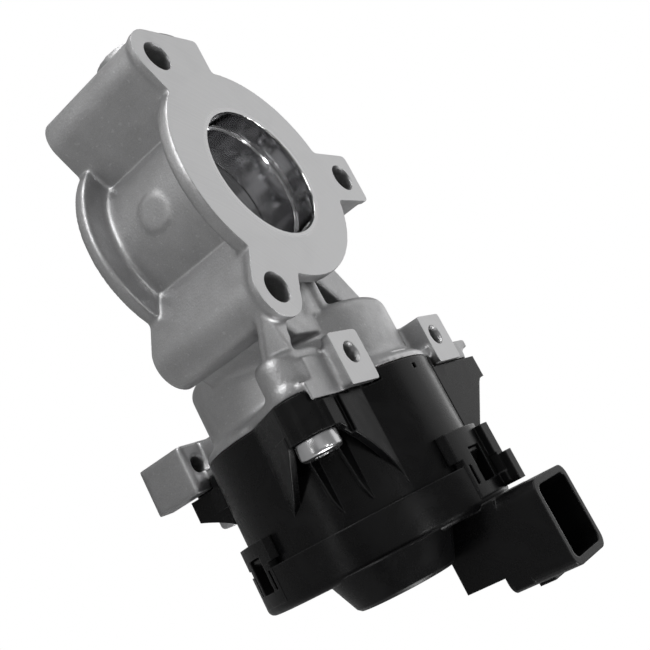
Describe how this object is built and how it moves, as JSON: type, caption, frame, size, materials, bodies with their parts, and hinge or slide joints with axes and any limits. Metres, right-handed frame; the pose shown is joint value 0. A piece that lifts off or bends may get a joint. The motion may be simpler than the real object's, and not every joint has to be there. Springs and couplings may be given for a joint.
{
  "type": "EGR valve",
  "caption": "Electric EGR valve: flanged aluminium gas tube with a turning flap, spring-loaded shaft, gear train and motor under a black clipped cover with a plug socket.",
  "frame": {"origin": "centre of the gas bore on the front face of the front flange", "axes": "+Z out of the front flange along the gas bore; +X along the valve shaft from its closed boss towards the black cover; +Y towards the square ear"},
  "size_m": [0.1874, 0.1007, 0.1169],
  "materials": {
    "cast_aluminium": "die cast, slightly rough",
    "bright_steel": "machined, satin",
    "dark_steel": "phosphated, satin",
    "bearing_bronze": "sintered, matt",
    "contact_brass": "plated, satin",
    "copper": "turned copper",
    "black_plastic": "glass-filled, fine grain",
    "gear_plastic": "moulded, smooth",
    "board_green": "coated board",
    "seal_rubber": "matt",
    "magnet": "sintered, coated"
  },
  "bodies": {
    "housing": {"valve_housing": "cast_aluminium", "bore_sleeve": "bright_steel", "bush_left": "bearing_bronze", "bush_right": "bearing_bronze", "shaft_seal": "seal_rubber", "shaft_plug": "bright_steel", "gear_pin": "bright_steel", "motor_can": "bright_steel", "motor_cap": "black_plastic", "motor_brushes": "magnet", "motor_magnets": "magnet", "motor_screws": "bright_steel", "gear_case": "black_plastic", "case_seal": "seal_rubber", "limiter_sleeves": "bright_steel", "case_screws": "bright_steel", "end_cover": "black_plastic", "cover_seal": "seal_rubber", "sensor_board": "board_green", "connector_pins": "contact_brass"},
    "flap": {"valve_flap": "bright_steel", "valve_shaft": "bright_steel", "flap_screws": "dark_steel", "return_spring": "dark_steel", "spring_lever": "dark_steel", "output_gear": "gear_plastic", "position_magnet": "magnet"},
    "intermediate": {"intermediate_gear": "gear_plastic"},
    "rotor": {"motor_shaft": "bright_steel", "motor_rotor": "dark_steel", "commutator": "copper", "motor_pinion": "contact_brass"}
  },
  "joints": [
    {"name": "flap_turn", "type": "hinge", "parent": "housing", "child": "flap", "pos_m": [0, 0, -0.0205], "axis": [1, 0, 0], "range_deg": [0, 90], "stiffness_Nm_per_rad": 0.13, "springref_deg": -65.89},
    {"name": "intermediate_turn", "type": "hinge", "parent": "housing", "child": "intermediate", "pos_m": [0.08, 0.01663, -0.0301], "axis": [1, 0, 0], "range_deg": [-270, 0]},
    {"name": "rotor_turn", "type": "hinge", "parent": "housing", "child": "rotor", "pos_m": [0.08, 0.01663, -0.0472], "axis": [1, 0, 0], "range_deg": [0, 1012.5]}
  ],
  "couplings": [
    {"joint": "intermediate_turn", "follows": "flap_turn", "ratio": -3},
    {"joint": "rotor_turn", "follows": "flap_turn", "ratio": 11.25}
  ]
}
